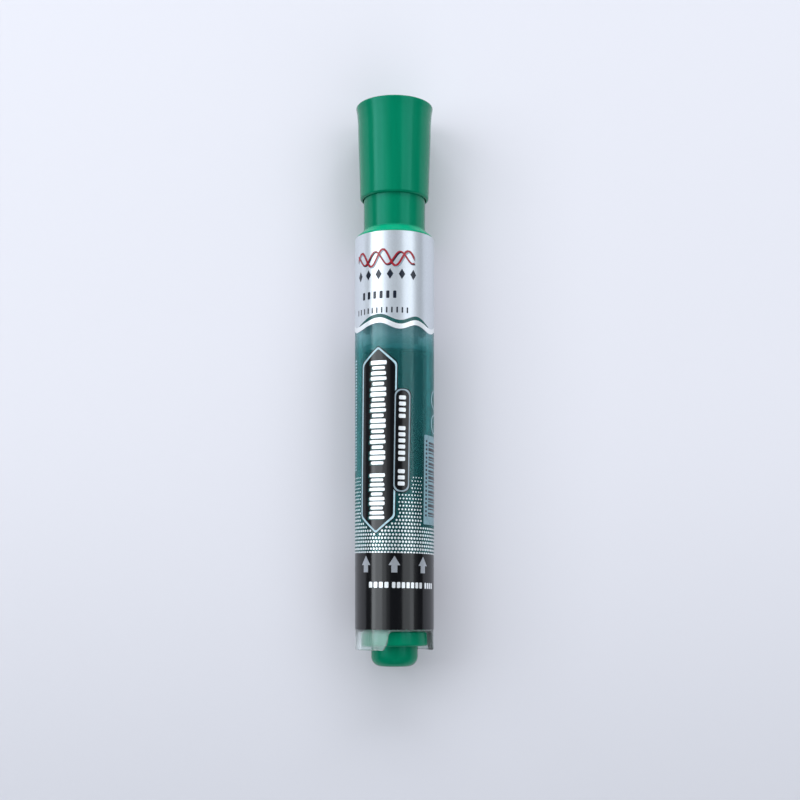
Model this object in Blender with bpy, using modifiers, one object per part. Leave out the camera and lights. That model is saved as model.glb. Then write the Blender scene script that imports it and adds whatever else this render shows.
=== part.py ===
"""Push-button whiteboard marker with free liquid ink, lying on its side with its cap on.

Metres, +Z up. The marker's axis runs along Y, cap at +Y and push button at -Y. The origin is on the
surface that it lies on, under the middle of its length.

Every turned piece is drawn as an outline of (radius, station) points in millimetres. A station is
measured along the axis from the middle of the marker, positive towards the cap.
"""

import math

import bmesh
import bpy
from mathutils import Matrix, Vector

MM = 0.001

# Overall size
TOTAL_LENGTH = 130.6
TAIL_END = -TOTAL_LENGTH / 2
CAP_END = TOTAL_LENGTH / 2
BARREL_RADIUS = 9.15
LABEL_INNER_RADIUS = BARREL_RADIUS + 0.05
LABEL_RADIUS = LABEL_INNER_RADIUS + 0.1

# Clearances: between pieces that are pressed or seated together, and between pieces that slide
SEAT_GAP = 0.1
FACE_GAP = 0.3

# Facets round the axis. Flats face straight down, so that the marker rests on one.
SIDES = 32
FINE_SIDES = 16

# Barrel
BARREL_FRONT = 34.3
SKIRT_RIM = -61.4
SKIRT_EDGE = 0.3
SKIRT_BORE = 7.95
CHAMBER_BORE = 7.6
CHAMBER_STEP = -57.2
LABEL_BACK = -56.6

# Notch in the skirt, which shows the plug's flange. Its sides are radial, and its widths are
# half widths measured square to its middle, at the height where a 42 degree side leaves the skirt.
NOTCH_TOP = -57.0
NOTCH_TOP_WIDTH = 5.5
NOTCH_WIDTH = 6.65
NOTCH_CORNER = 1.6
NOTCH_FLARE = 3.7
NOTCH_FLARE_START = 1.0
NOTCH_WIDTH_HEIGHT = BARREL_RADIUS * math.cos(math.radians(42))
NOTCH_REACH = 8.0
NOTCH_TURN = math.radians(31.3)

# Rear plug, with the button's guide hole and the two bores ahead of it
FLANGE_RADIUS = 7.9
FLANGE_BACK = -60.5
FLANGE_EDGE = 0.6
PLUG_RADIUS = CHAMBER_BORE - SEAT_GAP
PLUG_FRONT = -45.0
PLUG_EDGE = 0.4
BUTTON_HOLE = 5.65
LIP_FRONT = -58.6
COLLAR_BORE = 6.45
COLLAR_BORE_FRONT = -51.5
SPRING_BORE = 5.6
SEAL_GROOVE_RADIUS = 6.6
SEAL_GROOVE_HALF_WIDTH = 0.65
REAR_SEAL_STATION = -48.4
SEAL_RADIUS = 7.08
SEAL_CORD_RADIUS = 0.42

# Push button and rod
BUTTON_RADIUS = 5.475
BUTTON_EDGE = 2.4
COLLAR_RADIUS = 6.3
COLLAR_BACK = -58.4
COLLAR_FRONT = -57.2
BUTTON_NOSE_RADIUS = 3.2
BUTTON_NOSE_FRONT = -55.0
ROD_SOCKET_RADIUS = 1.35
ROD_SOCKET_FLOOR = -61.0
ROD_RADIUS = 1.1
ROD_EDGE = 0.2
ROD_PASSAGE = 2.2
ROD_GUIDE_BORE = 1.3
ROD_SEAL_BORE = 1.25
GUIDE_BACK = -49.5
GUIDE_FRONT = -45.2
GUIDE_SEAL_BACK = -46.9
GUIDE_SEAL_BORE = 2.65
ROD_SEAL_BACK = -46.7
INK_BORE = 1.5

# Front valve
HOUSING_BACK = 7.6
HOUSING_FLANGE_FRONT = 8.8
HOUSING_RADIUS = 5.5
HOUSING_BORE = 4.25
HOUSING_FRONT = 21.5
SEAT_BACK = 9.1
SEAT_SHOULDER = 9.8
SEAT_SHOULDER_RADIUS = 3.4
SEAT_LIP_RADIUS = 3.0
SEAT_FRONT = 10.3
POPPET_BACK = 10.7
POPPET_CONE_RADIUS = 2.4
POPPET_CONE_FRONT = 11.2
POPPET_HEAD_FRONT = 12.2
POPPET_HEAD_RADIUS = 3.3
POPPET_STEM_RADIUS = 1.2
POPPET_STEM_EDGE = 0.3
POPPET_FRONT = 19.2
RETAINER_BACK = 18.8
RETAINER_FRONT = 20.4
RETAINER_BORE = 1.45
FLOW_HOLES = 3
FLOW_HOLE_SIDES = 8
FLOW_HOLE_RADIUS = 0.7
FLOW_HOLE_CIRCLE = 2.75

# Front section: plug in the barrel, shoulder, neck that the cap slides on, nose and nib
FRONT_PLUG_BACK = 16.0
FRONT_SEAL_STATION = 30.2
SHOULDER_BACK = 34.4
SHOULDER_RADIUS = 8.85
SHOULDER_LAND = 0.4
NECK_BACK = 36.3
NECK_RADIUS = 7.15
NECK_FILLET = 0.5
NECK_BEAD_STATION = 46.0
NECK_BEAD_HEIGHT = 0.1
NECK_BEAD_HALF_WIDTH = 0.4
NECK_FRONT = 47.4
SEALING_LAND_RADIUS = 5.8
SEALING_LAND_BACK = 47.8
SEALING_LAND_FRONT = 49.8
NOSE_FRONT = 52.6
NOSE_RADIUS = 3.8
NOSE_EDGE = 0.4
NIB_BORE = 2.5
NIB_BORE_BACK = 44.0
NIB_RADIUS = 2.3
NIB_BACK = 44.15
NIB_TAPER_BACK = 54.2
NIB_TIP = 57.1
NIB_TIP_RADIUS = 1.3
NIB_TIP_EDGE = 0.9
WICK_BORE = 4.75
WICK_RADIUS = 4.55
WICK_BACK = 22.8
WICK_FRONT = 43.8

# Cap
CAP_RIM = 43.6
CAP_RIM_RADIUS = 8.0
CAP_RIM_EDGE = 0.59
CAP_BORE = 7.4
LINER_BORE_BACK = 48.6
LINER_BORE = 6.85
CAP_END_WALL = 1.2
CAP_END_RADIUS = 9.08
CAP_END_EDGE = 0.35
LINER_RADIUS = 6.7
LINER_EDGE = 0.5
LINER_BACK = 49.0
LINER_FRONT = 63.8
LINER_CAVITY_RADIUS = 5.9
LINER_CAVITY_FRONT = 62.9

# Flare of the cap towards its closed end: (step in from the end's radius, distance from the end)
CAP_FLARE = [(0.31, 1.7), (0.48, 3.9), (0.56, 7.3), (0.65, 10.2), (0.86, 15.8)]

# Springs: mean radius, wire radius and turns
RETURN_SPRING = (4.1, 0.35, 4.5)
VALVE_SPRING = (2.6, 0.25, 4.5)
COIL_POINTS_PER_TURN = 12

# Base colour, roughness, and alpha
MATERIALS = {
    "green_plastic": ((0.000, 0.235, 0.120), 0.30, 1.0),
    "natural_plastic": ((0.740, 0.770, 0.790), 0.35, 0.45),
    "label_film": ((0.560, 0.590, 0.640), 0.28, 1.0),
    "liner_plastic": ((0.800, 0.810, 0.800), 0.40, 1.0),
    "nib_felt": ((0.030, 0.140, 0.090), 0.90, 1.0),
    "wick_felt": ((0.060, 0.200, 0.140), 0.95, 1.0),
    "green_ink": ((0.004, 0.090, 0.070), 0.10, 1.0),
    "valve_plastic": ((0.090, 0.260, 0.240), 0.35, 1.0),
    "seal_rubber": ((0.020, 0.020, 0.022), 0.70, 1.0),
    "spring_steel": ((0.620, 0.630, 0.650), 0.25, 1.0),
}
METALLIC = {"spring_steel"}


def clear_scene():
    for obj in list(bpy.data.objects):
        bpy.data.objects.remove(obj, do_unlink=True)


def new_collection(name):
    collection = bpy.data.collections.new(name)
    bpy.context.scene.collection.children.link(collection)
    return collection


def make_material(name):
    colour, roughness, alpha = MATERIALS[name]
    material = bpy.data.materials.new(name)
    material.use_nodes = True
    shader = material.node_tree.nodes["Principled BSDF"]
    shader.inputs["Base Color"].default_value = (*colour, 1.0)
    shader.inputs["Roughness"].default_value = roughness
    shader.inputs["Metallic"].default_value = 1.0 if name in METALLIC else 0.0
    shader.inputs["Alpha"].default_value = alpha
    return material


def across_flats(sides):
    """The factor that turns a radius to the flats into a radius to the corners."""
    return 1 / math.cos(math.pi / sides)


def rounded(outline, steps=3):
    """The outline's points, with each (radius, station, fillet) corner replaced by an arc."""
    points = []
    for index, corner in enumerate(outline):
        here = Vector(corner[:2])
        if len(corner) == 2:
            points.append(here)
            continue
        before = Vector(outline[index - 1][:2]) - here
        after = Vector(outline[(index + 1) % len(outline)][:2]) - here
        half_angle = before.angle(after) / 2
        reach = corner[2] / math.tan(half_angle)
        bisector = (before.normalized() + after.normalized()).normalized()
        centre = here + bisector * corner[2] / math.sin(half_angle)
        start = here + before.normalized() * reach - centre
        end = here + after.normalized() * reach - centre
        sweep = start.angle_signed(end)
        for step in range(steps + 1):
            points.append(centre + Matrix.Rotation(-sweep * step / steps, 2) @ start)
    return points


def link_piece(name, data, material):
    """A new object of the marker, on the marker's axis."""
    piece = bpy.data.objects.new(name, data)
    PARTS.objects.link(piece)
    piece.parent = AXIS
    data.materials.append(SURFACES[material])
    return piece


def turned(name, outline, material, sides=SIDES, on_axis=False):
    """Turn an outline about the axis. It runs down the outer side, from the cap towards the tail."""
    mesh = bpy.data.meshes.new(name)
    scale = across_flats(sides) * MM
    points = [(p.x * scale, 0.0, p.y * MM) for p in rounded(outline)]
    edges = [(i, i + 1) for i in range(len(points) - 1)]
    if not on_axis:
        edges.append((len(points) - 1, 0))
    mesh.from_pydata(points, edges, [])
    piece = link_piece(name, mesh, material)
    piece.rotation_euler.z = math.pi / sides
    screw = piece.modifiers.new("turn", "SCREW")
    screw.steps = screw.render_steps = sides
    screw.use_merge_vertices = True
    screw.merge_threshold = 0.00001
    screw.use_smooth_shade = False
    return piece


def ring(outer, inner, back, front):
    """The outline of a plain tube or ring."""
    return [(outer, front), (outer, back), (inner, back), (inner, front)]


def groove(radius, station):
    """The corners of a seal groove in an outline that runs towards the tail at the given radius."""
    front = station + SEAL_GROOVE_HALF_WIDTH
    back = station - SEAL_GROOVE_HALF_WIDTH
    return [(radius, front), (SEAL_GROOVE_RADIUS, front), (SEAL_GROOVE_RADIUS, back), (radius, back)]


def cord_ring(name, station):
    """A rubber O-ring in its groove."""
    corners = 6
    turns = [-2 * math.pi * (i + 0.5) / corners for i in range(corners)]
    outline = [
        (SEAL_RADIUS + SEAL_CORD_RADIUS * math.cos(a), station + SEAL_CORD_RADIUS * math.sin(a))
        for a in turns
    ]
    return turned(name, outline, "seal_rubber")


def coil(name, size, back, front):
    """A helical compression spring between two stations."""
    radius, wire, turns = size
    curve = bpy.data.curves.new(name, "CURVE")
    curve.dimensions = "3D"
    curve.bevel_depth = wire * MM
    curve.bevel_resolution = 2
    curve.use_fill_caps = True
    count = round(turns * COIL_POINTS_PER_TURN) + 1
    spline = curve.splines.new("POLY")
    spline.points.add(count - 1)
    start, length = back + wire, front - back - 2 * wire
    for index, point in enumerate(spline.points):
        angle = 2 * math.pi * index / COIL_POINTS_PER_TURN
        along = start + length * index / (count - 1)
        point.co = (
            radius * math.cos(angle) * MM,
            radius * math.sin(angle) * MM,
            along * MM,
            1.0,
        )
    return link_piece(name, curve, "spring_steel")


def cut(piece, cutter):
    """Subtract a hidden cutter from a piece."""
    CUTTERS.objects.link(cutter)
    cutter.parent = AXIS
    cutter.hide_render = True
    cutter.display_type = "WIRE"
    boolean = piece.modifiers.new(cutter.name, "BOOLEAN")
    boolean.operation = "DIFFERENCE"
    boolean.solver = "EXACT"
    boolean.object = cutter


def mesh_from_curve(name, curve):
    """A closed mesh of a filled 2D curve, for use as a cutter."""
    guide = bpy.data.objects.new(name + "_guide", curve)
    CUTTERS.objects.link(guide)
    graph = bpy.context.evaluated_depsgraph_get()
    mesh = bpy.data.meshes.new_from_object(guide.evaluated_get(graph))
    bpy.data.objects.remove(guide, do_unlink=True)
    work = bmesh.new()
    work.from_mesh(mesh)
    bmesh.ops.remove_doubles(work, verts=work.verts, dist=0.000001)
    bmesh.ops.recalc_face_normals(work, faces=work.faces)
    work.to_mesh(mesh)
    work.free()
    return bpy.data.objects.new(name, mesh)


def notch_cutter():
    """The skirt notch: an outline, wider at the rim, that spreads as it moves out from the axis."""
    half = [
        (NOTCH_TOP_WIDTH, NOTCH_TOP, NOTCH_CORNER),
        (NOTCH_WIDTH, SKIRT_RIM + NOTCH_FLARE_START, NOTCH_FLARE_START),
        (NOTCH_WIDTH + NOTCH_FLARE, SKIRT_RIM - NOTCH_FLARE_START),
        (NOTCH_WIDTH + NOTCH_FLARE, SKIRT_RIM - 2 * NOTCH_FLARE_START),
    ]
    mirrored = [(-corner[0], *corner[1:]) for corner in reversed(half)]
    points = rounded(half + mirrored)
    curve = bpy.data.curves.new("skirt_notch", "CURVE")
    curve.dimensions = "2D"
    curve.fill_mode = "BOTH"
    curve.extrude = NOTCH_REACH / 2 * MM
    spline = curve.splines.new("POLY")
    spline.use_cyclic_u = True
    spline.points.add(len(points) - 1)
    for target, point in zip(spline.points, points):
        target.co = (point.x * MM, point.y * MM, 0.0, 1.0)
    cutter = mesh_from_curve("skirt_notch", curve)
    middle = BARREL_RADIUS - NOTCH_REACH / 4
    for vertex in cutter.data.vertices:
        vertex.co.x *= (middle + vertex.co.z / MM) / NOTCH_WIDTH_HEIGHT
    # The outline's flat side faces its own Z. Stand it up along the axis, then push it out of the skirt.
    stand = Matrix.Rotation(math.pi / 2, 4, "X")
    outward = Matrix.Translation((0, -middle * MM, 0))
    turn = Matrix.Rotation(NOTCH_TURN, 4, "Z")
    cutter.matrix_local = turn @ outward @ stand
    return cutter


def flow_hole_cutters():
    """Drilled holes round the middle of the spring retainer."""
    middle = (RETAINER_FRONT + RETAINER_BACK) / 2
    for index in range(FLOW_HOLES):
        work = bmesh.new()
        bmesh.ops.create_cone(
            work,
            cap_ends=True,
            segments=FLOW_HOLE_SIDES,
            radius1=FLOW_HOLE_RADIUS * MM,
            radius2=FLOW_HOLE_RADIUS * MM,
            depth=4 * (RETAINER_FRONT - RETAINER_BACK) * MM,
        )
        mesh = bpy.data.meshes.new("flow_hole")
        work.to_mesh(mesh)
        work.free()
        cutter = bpy.data.objects.new(f"flow_hole_{index + 1}", mesh)
        angle = 2 * math.pi * index / FLOW_HOLES
        cutter.location = (
            FLOW_HOLE_CIRCLE * MM * math.cos(angle),
            FLOW_HOLE_CIRCLE * MM * math.sin(angle),
            middle * MM,
        )
        yield cutter


def make_barrel():
    outline = [
        (BARREL_RADIUS, BARREL_FRONT),
        (BARREL_RADIUS, SKIRT_RIM, SKIRT_EDGE),
        (SKIRT_BORE, SKIRT_RIM),
        (SKIRT_BORE, CHAMBER_STEP),
        (CHAMBER_BORE, CHAMBER_STEP),
        (CHAMBER_BORE, BARREL_FRONT),
    ]
    barrel = turned("barrel", outline, "natural_plastic")
    cut(barrel, notch_cutter())
    turned("label_sleeve", ring(LABEL_RADIUS, LABEL_INNER_RADIUS, LABEL_BACK, BARREL_FRONT), "label_film")


def make_tail():
    plug = [
        (PLUG_RADIUS, PLUG_FRONT, PLUG_EDGE),
        *groove(PLUG_RADIUS, REAR_SEAL_STATION),
        (PLUG_RADIUS, CHAMBER_STEP - SEAT_GAP),
        (FLANGE_RADIUS, CHAMBER_STEP - SEAT_GAP),
        (FLANGE_RADIUS, FLANGE_BACK, FLANGE_EDGE),
        (BUTTON_HOLE, FLANGE_BACK),
        (BUTTON_HOLE, LIP_FRONT),
        (COLLAR_BORE, LIP_FRONT),
        (COLLAR_BORE, COLLAR_BORE_FRONT),
        (SPRING_BORE, COLLAR_BORE_FRONT),
        (SPRING_BORE, PLUG_FRONT),
    ]
    turned("rear_plug", plug, "green_plastic")
    cord_ring("rear_seal", REAR_SEAL_STATION)
    guide = [
        (SPRING_BORE - SEAT_GAP, GUIDE_FRONT),
        (SPRING_BORE - SEAT_GAP, GUIDE_BACK),
        (ROD_GUIDE_BORE, GUIDE_BACK),
        (ROD_GUIDE_BORE, GUIDE_SEAL_BACK),
        (GUIDE_SEAL_BORE, GUIDE_SEAL_BACK),
        (GUIDE_SEAL_BORE, GUIDE_FRONT),
    ]
    turned("rod_guide", guide, "valve_plastic")
    seal = ring(GUIDE_SEAL_BORE - SEAT_GAP, ROD_SEAL_BORE, ROD_SEAL_BACK, GUIDE_FRONT)
    turned("rod_seal", seal, "seal_rubber", FINE_SIDES)


def make_button():
    button = [
        (0.0, ROD_SOCKET_FLOOR),
        (ROD_SOCKET_RADIUS, ROD_SOCKET_FLOOR),
        (ROD_SOCKET_RADIUS, BUTTON_NOSE_FRONT),
        (BUTTON_NOSE_RADIUS, BUTTON_NOSE_FRONT),
        (BUTTON_NOSE_RADIUS, COLLAR_FRONT),
        (COLLAR_RADIUS, COLLAR_FRONT),
        (COLLAR_RADIUS, COLLAR_BACK),
        (BUTTON_RADIUS, COLLAR_BACK),
        (BUTTON_RADIUS, TAIL_END, BUTTON_EDGE),
        (0.0, TAIL_END),
    ]
    turned("push_button", button, "green_plastic", on_axis=True)
    rod = [
        (0.0, POPPET_BACK - FACE_GAP),
        (ROD_RADIUS, POPPET_BACK - FACE_GAP, ROD_EDGE),
        (ROD_RADIUS, ROD_SOCKET_FLOOR + SEAT_GAP),
        (0.0, ROD_SOCKET_FLOOR + SEAT_GAP),
    ]
    turned("push_rod", rod, "valve_plastic", FINE_SIDES, on_axis=True)
    coil("return_spring", RETURN_SPRING, COLLAR_FRONT + SEAT_GAP, GUIDE_BACK - SEAT_GAP)


def make_ink():
    outline = ring(CHAMBER_BORE - SEAT_GAP, INK_BORE, PLUG_FRONT + FACE_GAP, HOUSING_BACK - FACE_GAP)
    turned("ink_charge", outline, "green_ink")


def make_valve():
    housing = [
        (HOUSING_RADIUS, HOUSING_FRONT),
        (HOUSING_RADIUS, HOUSING_FLANGE_FRONT),
        (PLUG_RADIUS, HOUSING_FLANGE_FRONT),
        (PLUG_RADIUS, HOUSING_BACK),
        (ROD_PASSAGE, HOUSING_BACK),
        (ROD_PASSAGE, SEAT_BACK - SEAT_GAP),
        (HOUSING_BORE, SEAT_BACK - SEAT_GAP),
        (HOUSING_BORE, HOUSING_FRONT),
    ]
    turned("valve_housing", housing, "valve_plastic")
    seat = [
        (HOUSING_BORE - SEAT_GAP, SEAT_SHOULDER),
        (HOUSING_BORE - SEAT_GAP, SEAT_BACK),
        (ROD_PASSAGE, SEAT_BACK),
        (ROD_PASSAGE, SEAT_FRONT),
        (SEAT_LIP_RADIUS, SEAT_FRONT),
        (SEAT_SHOULDER_RADIUS, SEAT_SHOULDER),
    ]
    turned("valve_seat", seat, "seal_rubber", FINE_SIDES)
    poppet = [
        (0.0, POPPET_FRONT),
        (POPPET_STEM_RADIUS, POPPET_FRONT, POPPET_STEM_EDGE),
        (POPPET_STEM_RADIUS, POPPET_HEAD_FRONT),
        (POPPET_HEAD_RADIUS, POPPET_HEAD_FRONT),
        (POPPET_HEAD_RADIUS, POPPET_CONE_FRONT),
        (POPPET_CONE_RADIUS, POPPET_BACK),
        (0.0, POPPET_BACK),
    ]
    turned("valve_poppet", poppet, "valve_plastic", FINE_SIDES, on_axis=True)
    coil("valve_spring", VALVE_SPRING, POPPET_HEAD_FRONT + SEAT_GAP, RETAINER_BACK - SEAT_GAP)
    retainer = turned(
        "spring_retainer",
        ring(HOUSING_BORE - SEAT_GAP, RETAINER_BORE, RETAINER_BACK, RETAINER_FRONT),
        "valve_plastic",
        FINE_SIDES,
    )
    for cutter in flow_hole_cutters():
        cut(retainer, cutter)


def make_front():
    section = [
        (NOSE_RADIUS, NOSE_FRONT, NOSE_EDGE),
        (SEALING_LAND_RADIUS, SEALING_LAND_FRONT),
        (SEALING_LAND_RADIUS, SEALING_LAND_BACK),
        (NECK_RADIUS, NECK_FRONT),
        (NECK_RADIUS, NECK_BEAD_STATION + NECK_BEAD_HALF_WIDTH),
        (NECK_RADIUS + NECK_BEAD_HEIGHT, NECK_BEAD_STATION),
        (NECK_RADIUS, NECK_BEAD_STATION - NECK_BEAD_HALF_WIDTH),
        (NECK_RADIUS, NECK_BACK, NECK_FILLET),
        (SHOULDER_RADIUS, SHOULDER_BACK + SHOULDER_LAND),
        (SHOULDER_RADIUS, SHOULDER_BACK),
        (PLUG_RADIUS, SHOULDER_BACK),
        *groove(PLUG_RADIUS, FRONT_SEAL_STATION),
        (PLUG_RADIUS, FRONT_PLUG_BACK),
        (HOUSING_RADIUS + SEAT_GAP, FRONT_PLUG_BACK),
        (HOUSING_RADIUS + SEAT_GAP, HOUSING_FRONT + FACE_GAP),
        (WICK_BORE, HOUSING_FRONT + FACE_GAP),
        (WICK_BORE, NIB_BORE_BACK),
        (NIB_BORE, NIB_BORE_BACK),
        (NIB_BORE, NOSE_FRONT),
    ]
    turned("front_section", section, "green_plastic")
    cord_ring("front_seal", FRONT_SEAL_STATION)
    wick = [
        (0.0, WICK_FRONT),
        (WICK_RADIUS, WICK_FRONT),
        (WICK_RADIUS, WICK_BACK),
        (0.0, WICK_BACK),
    ]
    turned("feed_wick", wick, "wick_felt", FINE_SIDES, on_axis=True)
    nib = [
        (0.0, NIB_TIP),
        (NIB_TIP_RADIUS, NIB_TIP, NIB_TIP_EDGE),
        (NIB_RADIUS, NIB_TAPER_BACK),
        (NIB_RADIUS, NIB_BACK),
        (0.0, NIB_BACK),
    ]
    turned("nib", nib, "nib_felt", FINE_SIDES, on_axis=True)


def make_cap():
    shell = [
        (0.0, CAP_END),
        (CAP_END_RADIUS, CAP_END, CAP_END_EDGE),
        *((CAP_END_RADIUS - step, CAP_END - distance) for step, distance in CAP_FLARE),
        (CAP_RIM_RADIUS, CAP_RIM, CAP_RIM_EDGE),
        (CAP_BORE, CAP_RIM),
        (CAP_BORE, LINER_BORE_BACK),
        (LINER_BORE, LINER_BORE_BACK),
        (LINER_BORE, CAP_END - CAP_END_WALL),
        (0.0, CAP_END - CAP_END_WALL),
    ]
    turned("cap_shell", shell, "green_plastic", on_axis=True)
    liner = [
        (0.0, LINER_FRONT),
        (LINER_RADIUS, LINER_FRONT, LINER_EDGE),
        (LINER_RADIUS, LINER_BACK),
        (LINER_CAVITY_RADIUS, LINER_BACK),
        (LINER_CAVITY_RADIUS, LINER_CAVITY_FRONT),
        (0.0, LINER_CAVITY_FRONT),
    ]
    turned("inner_cap", liner, "liner_plastic", on_axis=True)


clear_scene()
PARTS = new_collection("whiteboard_marker")
CUTTERS = new_collection("cutters")
SURFACES = {name: make_material(name) for name in MATERIALS}

# The axis lies along Y, one label radius above the surface
AXIS = bpy.data.objects.new("marker_axis", None)
PARTS.objects.link(AXIS)
AXIS.location.z = LABEL_RADIUS * MM
AXIS.rotation_euler.x = -math.pi / 2

make_barrel()
make_tail()
make_button()
make_ink()
make_valve()
make_front()
make_cap()
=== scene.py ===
"""Looks of the push-button whiteboard marker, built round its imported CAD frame.

A turned piece is an outline of (radius, station) points in millimetres, as in the CAD: a station is
measured along the marker's axis from the middle of its length, positive towards the cap. A third
number rounds that corner. The printed sleeve is drawn flat in (across, station) millimetres, where
across is the distance round the sleeve from its highest line towards +X, and is then wrapped.
"""

import math

import bmesh
import bpy
from mathutils import Matrix, Vector


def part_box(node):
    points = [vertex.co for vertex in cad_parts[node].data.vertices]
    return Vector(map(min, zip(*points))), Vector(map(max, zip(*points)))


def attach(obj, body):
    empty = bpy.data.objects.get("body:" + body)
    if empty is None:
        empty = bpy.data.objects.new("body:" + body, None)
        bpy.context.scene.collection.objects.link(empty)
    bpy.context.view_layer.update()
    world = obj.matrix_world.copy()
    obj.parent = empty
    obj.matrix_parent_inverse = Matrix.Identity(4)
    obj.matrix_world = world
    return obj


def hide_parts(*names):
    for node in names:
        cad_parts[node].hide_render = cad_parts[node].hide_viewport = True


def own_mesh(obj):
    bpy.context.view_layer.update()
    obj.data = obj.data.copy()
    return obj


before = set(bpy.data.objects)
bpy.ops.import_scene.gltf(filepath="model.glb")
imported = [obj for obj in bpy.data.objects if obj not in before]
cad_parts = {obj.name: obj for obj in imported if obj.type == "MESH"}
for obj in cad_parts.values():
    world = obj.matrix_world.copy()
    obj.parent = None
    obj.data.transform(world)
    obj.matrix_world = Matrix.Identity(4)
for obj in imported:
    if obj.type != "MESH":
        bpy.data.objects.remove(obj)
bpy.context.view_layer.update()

MM = 0.001

# Facets round a fine turned piece, and the angle above which an edge is shaded sharp
SIDES = 144
SHARP_ANGLE = math.radians(28)


class Span:
    """Where a CAD node lies along the marker's axis, and its radius, in millimetres."""

    def __init__(self, node):
        low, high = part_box(node)
        self.back = low.y / MM
        self.front = high.y / MM
        self.radius = (high.x - low.x) / 2 / MM


SLEEVE = Span("label_sleeve")
BARREL = Span("barrel")
CAP = Span("cap_shell")
LINER = Span("inner_cap")
SECTION = Span("front_section")
NIB = Span("nib")
PLUG = Span("rear_plug")
BUTTON = Span("push_button")
INK = Span("ink_charge")
HOUSING = Span("valve_housing")
RETURN_SPRING = Span("return_spring")
VALVE_SPRING = Span("valve_spring")
AXIS_HEIGHT = SLEEVE.radius

# The cap: radii and stations that its box doesn't give. The liner sits in a narrower bore.
CAP_RIM_RADIUS = 8.0
CAP_BORE = 7.4
CAP_LINER_BORE = 6.85
CAP_LINER_BORE_BACK = 48.6
CAP_END_WALL = 1.2
LINER_BORE = 5.9
LINER_END_WALL = 0.9

# The cap's side from its closed end: how far in from the full radius, how far back, and the fillet
CAP_SIDE = [
    (0, 0, 0.35),
    (0.31, 1.7, 6),
    (0.48, 3.9, 10),
    (0.56, 7.3, 20),
    (0.65, 10.2, 40),
    (0.86, 15.8, 80),
]

# The front section's neck, and the plugs that close both ends of the barrel with a seal in a groove
NECK_BACK = 36.3
NECK_RADIUS = 7.15
NECK_FRONT = 47.4
PLUG_RADIUS = 7.5
GROOVE_RADIUS = 6.6
GROOVE_LENGTH = 1.3
FRONT_GROOVE = 30.85
REAR_GROOVE = -47.75

# The barrel: an ink chamber, and a wider skirt past the label with a notch in it
SKIRT_BORE = 7.95
CHAMBER_BORE = 7.6
CHAMBER_STEP = -57.2
NOTCH_TOP = -57.0
NOTCH_TOP_WIDTH = 5.5
NOTCH_WIDTH = 6.65
NOTCH_CORNER = 1.6
NOTCH_FLARE = 3.7
NOTCH_WIDTH_HEIGHT = BARREL.radius * math.cos(math.radians(42))
NOTCH_TURN = math.radians(31.3)

# The springs: piece, coil radius, wire radius, span, joint that shortens it, and CAD node
SPRING_TURNS = 4.5
SPRINGS = [
    ("return_spring_fine", 4.1, 0.35, RETURN_SPRING, "button_push", "return_spring"),
    ("valve_spring_fine", 2.6, 0.25, VALVE_SPRING, "valve_open", "valve_spring"),
]

# The label: its slant on the barrel, the black band's upper edge, how far round from its highest line
# the seam at the back starts, and where the window's tint is palest
LABEL_SLANT = math.radians(0.9)
BAND_TOP = -39.1
SEAM_START = 24
FILM_PALE_STATION = 11.0


def place(radius, angle, station):
    """A point at a radius and a station, turned from straight up towards +X."""
    return Vector((
        radius * math.sin(angle) * MM,
        station * MM,
        (AXIS_HEIGHT + radius * math.cos(angle)) * MM,
    ))


# --------------------------------------------------------------------------- materials


def rgb(red, green, blue):
    """A colour given as 0-255 screen values, as the linear colour that a shader takes."""
    def linear(value):
        value /= 255
        return value / 12.92 if value <= 0.04045 else ((value + 0.055) / 1.055) ** 2.4
    return (linear(red), linear(green), linear(blue), 1.0)


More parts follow.
